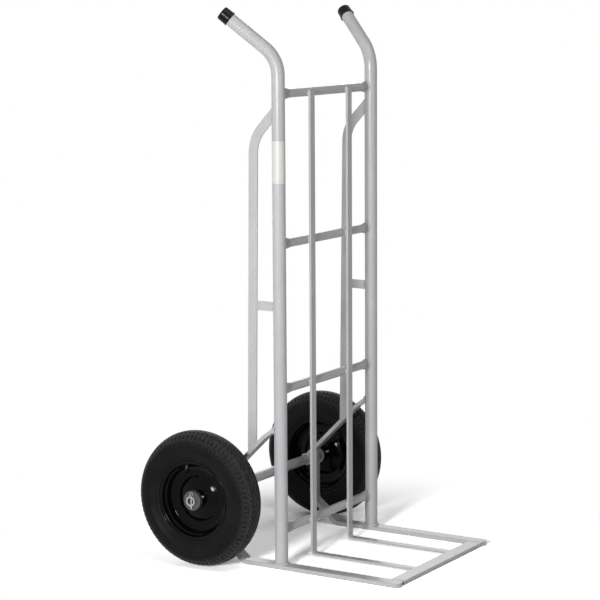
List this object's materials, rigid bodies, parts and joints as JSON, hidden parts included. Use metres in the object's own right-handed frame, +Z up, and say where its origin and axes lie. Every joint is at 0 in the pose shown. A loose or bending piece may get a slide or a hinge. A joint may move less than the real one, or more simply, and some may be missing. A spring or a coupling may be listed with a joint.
{
  "type": "hand truck",
  "caption": "Upright steel hand truck with splayed handles, open toe rails, rear skid bars and two pneumatic wheels on a fixed axle.",
  "frame": {"origin": "on the floor, under the middle of the bounding box", "axes": "+Z up, +X across the truck along the axle, +Y from the toe towards the wheels and handles"},
  "size_m": [0.6802, 0.6901, 1.3603],
  "materials": {
    "silver_paint": "satin silver-grey powder coat on welded steel tube and flat bar",
    "cap_plastic": "black moulded plastic, glossy",
    "zinc_plate": "zinc-plated steel, dull grey",
    "tyre_rubber": "black tyre rubber, slightly dusty",
    "tube_rubber": "smooth black butyl rubber",
    "black_enamel": "gloss black enamel on pressed steel",
    "label_film": "bare off-white printed-label film with nothing on it"
  },
  "bodies": {
    "frame": {"upright_left": "silver_paint", "upright_right": "silver_paint", "handle_cap_left": "cap_plastic", "handle_cap_right": "cap_plastic", "load_bar_left": "silver_paint", "load_bar_right": "silver_paint", "toe_rail_left": "silver_paint", "toe_rail_right": "silver_paint", "brace_left": "silver_paint", "brace_right": "silver_paint", "skid_bar_left": "silver_paint", "skid_bar_right": "silver_paint", "skid_strut_left": "silver_paint", "skid_strut_right": "silver_paint", "axle_spacer_left": "zinc_plate", "axle_spacer_right": "zinc_plate", "inner_washer_left": "zinc_plate", "inner_washer_right": "zinc_plate", "outer_washer_left": "zinc_plate", "outer_washer_right": "zinc_plate", "split_pin_left": "zinc_plate", "split_pin_right": "zinc_plate", "crossbar_bottom": "silver_paint", "crossbar_lower": "silver_paint", "crossbar_upper": "silver_paint", "crossbar_top": "silver_paint", "toe_blade": "silver_paint", "axle": "zinc_plate", "label": "label_film"},
    "wheel_left": {"tyre_left": "tyre_rubber", "inner_tube_left": "tube_rubber", "rim_half_a_left": "black_enamel", "rim_half_b_left": "black_enamel", "hub_left": "black_enamel", "bearing_a_left": "zinc_plate", "bearing_b_left": "zinc_plate", "valve_stem_left": "tube_rubber", "valve_cap_left": "cap_plastic", "grease_nipple_left": "zinc_plate"},
    "wheel_right": {"tyre_right": "tyre_rubber", "inner_tube_right": "tube_rubber", "rim_half_a_right": "black_enamel", "rim_half_b_right": "black_enamel", "hub_right": "black_enamel", "bearing_a_right": "zinc_plate", "bearing_b_right": "zinc_plate", "valve_stem_right": "tube_rubber", "valve_cap_right": "cap_plastic", "grease_nipple_right": "zinc_plate"}
  },
  "joints": [
    {"name": "wheel_left_spin", "type": "hinge", "parent": "frame", "child": "wheel_left", "pos_m": [-0.296, 0.17655, 0.1685], "axis": [1, 0, 0], "continuous": true},
    {"name": "wheel_right_spin", "type": "hinge", "parent": "frame", "child": "wheel_right", "pos_m": [0.296, 0.17655, 0.1685], "axis": [1, 0, 0], "continuous": true}
  ]
}
